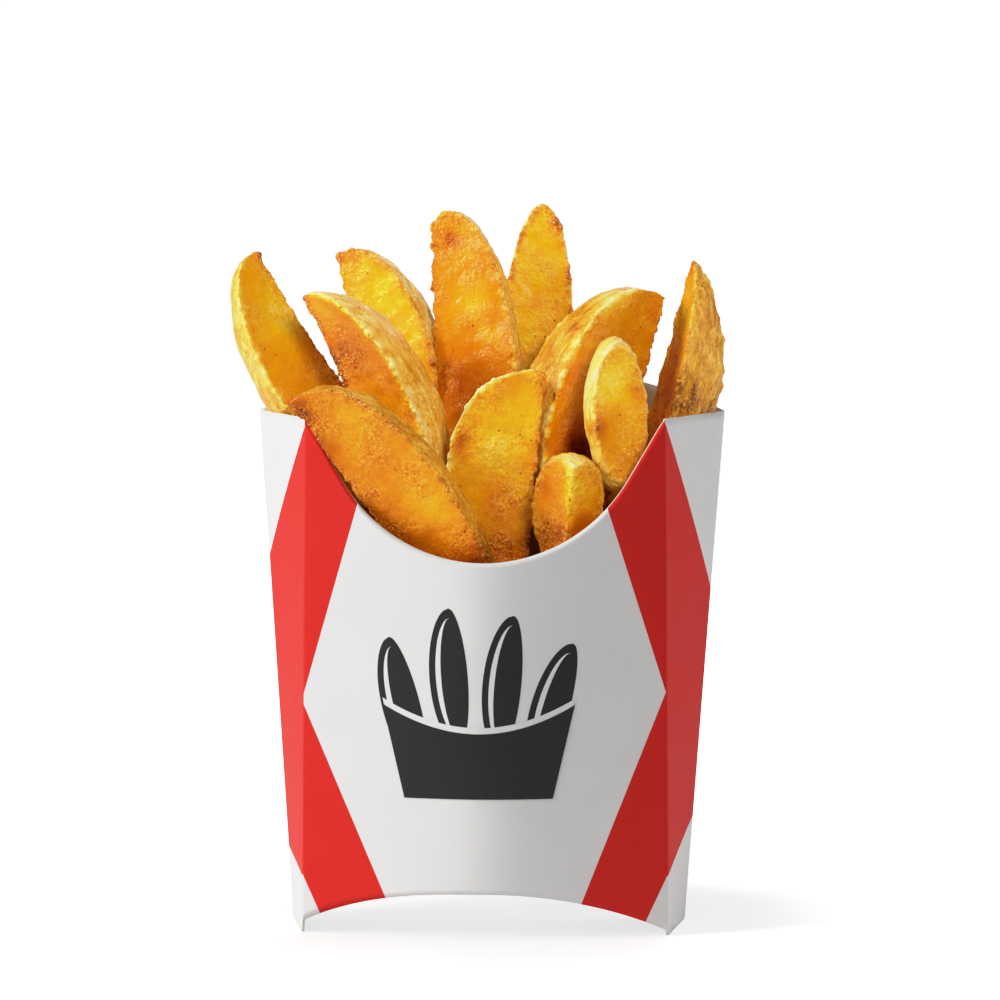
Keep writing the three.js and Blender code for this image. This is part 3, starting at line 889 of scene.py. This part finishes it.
shown_wedges = {
    "wedge_front_left": dict(
        base=(-0.5, 6.5, 59.5), tip=(-44.8, -5.2, 122.6), girth=(21.7, 21.5), wide=0.56, blunt=(0.5, 0.36),
        spread=(-22, 14), sway=-0.9, browning_and_painted_light=0.1, lip_tone=0.12, ridge_tone=0.1,
        # its patch at (-1, 87) is painted shade on its low end by the scoop
        patches=((-42, 121, 4, 0.1), (-30, 118, 4, -0.1), (-12, 99, 5, -0.2), (-1, 87, 5, 0.18)),
        finish=dict(flesh=0.46, skin=0.52, mottle=0.3)),
    "wedge_front": dict(
        base=(7, 12, 57.5), tip=(13.5, 8, 129), girth=(20.5, 20.5), wide=0.7, blunt=(0.5, 0.4),
        # its pale lip (lip_tone below zero) is cream crust with a painted highlight along its top rim, and
        # its patch at (4, 88) is painted shade on its low end by the scoop
        ridge=(0.5, 0), spread=(150, 182), browning_and_painted_light=-0.02, lip_tone=-0.4, ridge_tone=0.2,
        patches=((1, 112, 6, -0.22), (11, 121, 4, -0.15), (-6, 113, 3.5, 0.3), (3, 99, 5, 0.22),
                 (4, 88, 5, 0.2)),
        bumps=((2.4, 124.5, 2.6, 0.7), (11, 128.5, 3, 0.6)),
        finish=dict(skin=0.3, mottle=0.42)),
    "wedge_small_front": dict(
        base=(17.5, 5, 83), tip=(20, 2, 111), girth=(8, 7.5), wide=0.65, blunt=(0.5, 0.42),
        # its ridge_tone below zero is a painted highlight along its ridge, and its patch at (18, 93) is
        # painted shade on its low end by the scoop
        ridge=(0.5, -5.5), spread=(35, 145), browning_and_painted_light=0.02, lip_tone=-0.05, ridge_tone=-0.25,
        patches=((14, 104, 4, 0.12), (22, 102, 4, -0.15), (18, 93, 3, 0.22), (20, 110, 2.5, -0.25)),
        finish=dict(flesh=0.5)),
    "wedge_small_right": dict(
        base=(30.5, 7, 101.5), tip=(29, 7, 137.5), girth=(7.3, 8.5), blunt=(0.6, 0.5), ridge=(9, 0),
        spread=(150, 206), browning_and_painted_light=-0.05, lip_tone=0,
        patches=((29, 127, 5, -0.25), (35, 126, 2.5, 0.3), (25.5, 117, 3.5, 0.4), (31, 109, 4, 0.05)),
        finish=dict(skin=0.36)),
    "wedge_left": dict(
        base=(-17, 22, 88.5), tip=(-43, 19, 146.5), girth=(19, 19), ridge=(-0.5, 0), spread=(-44, 8),
        browning_and_painted_light=0.08, lip_tone=-0.3, ridge_tone=0.35,
        patches=((-40, 147, 4, -0.1), (-33, 132, 5, 0.22)),
        finish=dict(flesh=0.48, skin=0.36, streaks=0.65)),
    "wedge_right": dict(
        base=(23.5, 27, 82.5), tip=(41.5, 33, 146.5), girth=(27, 27), blunt=(0.5, 0.38), ridge=(0.5, 0.5),
        spread=(190, 227), browning_and_painted_light=0.08, lip_tone=-0.35, ridge_tone=0.2,
        # its patch at (22, 111) is painted shade in the gap in front of it, and the one at (28, 144) a
        # painted sheen
        patches=((23, 142, 4, 0.12), (28, 144, 4, -0.25), (16, 130, 4, 0.15), (22, 111, 5, 0.5)),
        finish=dict(skin=0.48, streaks=0.65)),
    "wedge_tall": dict(
        base=(-8, 28, 83), tip=(-9, 34, 166.5), girth=(17.5, 17.5), blunt=(0.5, 0.58), ridge=(-5.6, 0),
        spread=(-19, 10), sway=-1.2, browning_and_painted_light=0.08, lip_tone=-0.1, ridge_tone=0.12,
        patches=((-9.4, 160, 2.5, 0.22), (-5, 145, 5, -0.2), (0, 137, 3, -0.15), (-6, 124, 8, 0.17)),
        finish=dict(flesh=0.5, skin=0.42, mottle=0.26)),
    "wedge_far_left": dict(
        base=(-21, 30.5, 100), tip=(-57.5, 34.5, 156), girth=(17, 17), blunt=(0.65, 0.52), ridge=(2.2, 0),
        spread=(162, 222), sway=0.8, browning_and_painted_light=-0.02, lip_tone=-0.1, ridge_tone=0.38,
        patches=((-49, 143, 7, -0.28), (-42, 130, 5, 0.1)),
        finish=dict()),
    "wedge_far_right": dict(
        base=(29, 33.5, 87.5), tip=(47.5, 35, 155), girth=(15.8, 15.8), blunt=(0.58, 0.66),
        spread=(-72, -8), sway=-0.5, browning_and_painted_light=0.03, lip_tone=0, ridge_tone=0.05,
        patches=((46, 142, 4, -0.15), (45, 125, 5, 0.25), (52, 143, 4, 0.1), (47, 154, 2.5, 0.3)),
        finish=dict(skin=0.54, mottle=0.45)),
    "wedge_back_left": dict(
        base=(-20.5, 34.5, 104.5), tip=(-36, 40, 157), girth=(17, 15), ridge=(-2.4, 0), spread=(-25, 20),
        browning_and_painted_light=-0.1, lip_tone=0.22, ridge_tone=0.2,
        patches=((-35, 156, 3.5, 0.3), (-23, 147, 5, -0.1)),
        finish=dict(skin=0.5, mottle=0.45)),
    "wedge_back": dict(
        base=(9.5, 35.5, 109.5), tip=(12, 45, 168.5), girth=(8.3, 10), blunt=(0.6, 0.6),
        ridge=(-20, -1.5), spread=(0, 18), browning_and_painted_light=-0.12, lip_tone=0.3,
        # its patch at (11, 150) is a painted highlight
        patches=((11, 145, 3, 0.1), (11, 150, 2.5, -0.1), (15, 163, 2.5, 0.3)),
        finish=dict(skin=0.3)),
}
for node, shape in shown_wedges.items():
    shown_wedges[node] = {**plain_shape, **shape}

# the room of each wedge is cut out of what lies behind it
clearance = 0.15 * mm
rooms = [
    loose_object("room", cut_wedge(shape, clearance, *coarse_steps)) for shape in shown_wedges.values()
]

lower_shapes = [
    {**plain_shape, "base": base, "tip": tip, "girth": (radius, radius), "spread": spread, "browning_and_painted_light": 0.05}
    for base, tip, radius, spread in (
        ((-24, 8, 42), (-31, 9, 114), 14, (150, 210)),
        ((-31, 17, 44), (-38, 17, 117), 12, (140, 220)),
        ((-36, 25, 44), (-45, 31, 110), 10, (90, 200)),
        ((-24, 22, 42), (-28, 28, 102), 13, (55, 125)),
        ((-10, 29, 48), (-12, 34, 107), 11, (50, 130)),
        ((0, 30, 46), (1, 36, 112), 9, (50, 130)),
        ((22, 34, 46), (4, 37, 112), 13, (-20, 60)),
        ((24, 32, 46), (27, 35, 114), 12, (50, 130)),
        ((36, 22, 40), (41, 22, 98), 12, (-45, 45)),
        ((32, 14, 44), (37, 14, 114), 12, (-50, 40)),
        ((34, 30, 40), (38, 28, 92), 14, (200, 270)),
        ((30, 8, 40), (31, 8, 100), 11, (-60, 20)),
        ((40, 12, 40), (34, 11, 98), 15, (120, 185)),
        ((-12, 16, 34), (-15, 19, 87), 12, (150, 230)),
        ((16, 20, 30), (20, 25, 81), 12, (40, 110)),
        ((-6, 24, 32), (-8, 27, 82), 11, (60, 130)),
        ((15, 8, 32), (17, 7, 82), 11, (-120, -40)),
        ((-22, 4, 34), (-26, 4, 88), 11, (180, 260)),
    )
]
# the middle of the heap fills the carton up to an uneven top
core_top = 78 * mm
core_bump = 4 * mm
core_waves = (7, 9)
core_inset = board + 0.3 * mm
heap_voxel, heap_roughing = 0.8 * mm, 0.8

core = bmesh.new()
bmesh.ops.create_cube(core, size=1)
bmesh.ops.subdivide_edges(core, edges=core.edges[:], cuts=15, use_grid_fill=True)
for vert in core.verts:
    u, v, share = 2 * vert.co.x, vert.co.y + 0.5, vert.co.z + 0.5
    top = core_top + core_bump * math.sin(core_waves[0] * u) * math.cos(core_waves[1] * v)
    vert.co = carton_point(u, v, mix(arch_height(u, v) + core_inset, top, share), core_inset)
bmesh.ops.recalc_face_normals(core, faces=core.faces)

heap_bodies = [loose_object("core", core)]
heap_bodies += [loose_object("lower", cut_wedge(shape, 0, *coarse_steps)) for shape in lower_shapes]
heap = bmesh.new()
for body in heap_bodies:
    mesh = pressed(body, rooms)
    heap.from_mesh(mesh)
    bpy.data.meshes.remove(mesh)
heap_mesh = pressed(loose_object("heap", heap), [], heap_voxel)
deep_fry = potato_finish("deep_golden_potato", flesh=0.42, skin=0.4)
lower_heap = fried("lower_wedges_fried", heap_mesh, lower_shapes, deep_fry, heap_roughing)
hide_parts("lower_wedges")

# ---------- wedges that show ----------
# Eleven wedges fan out over the rim, each pressed flat where it meets one in front of it. Their faces run
# from lemon yellow to amber, and their skins from cream to brown.

wedge_voxel = 0.36 * mm
for place_in_row, (node, shape) in enumerate(shown_wedges.items()):
    body = loose_object("wedge", cut_wedge(shape))
    mesh = pressed(body, rooms[:place_in_row], wedge_voxel)
    finish = potato_finish("fried_" + node, **shape["finish"])
    piece = fried(node + "_fried", mesh, [shape], finish)
    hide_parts(node)
for room in rooms:
    drop(room)
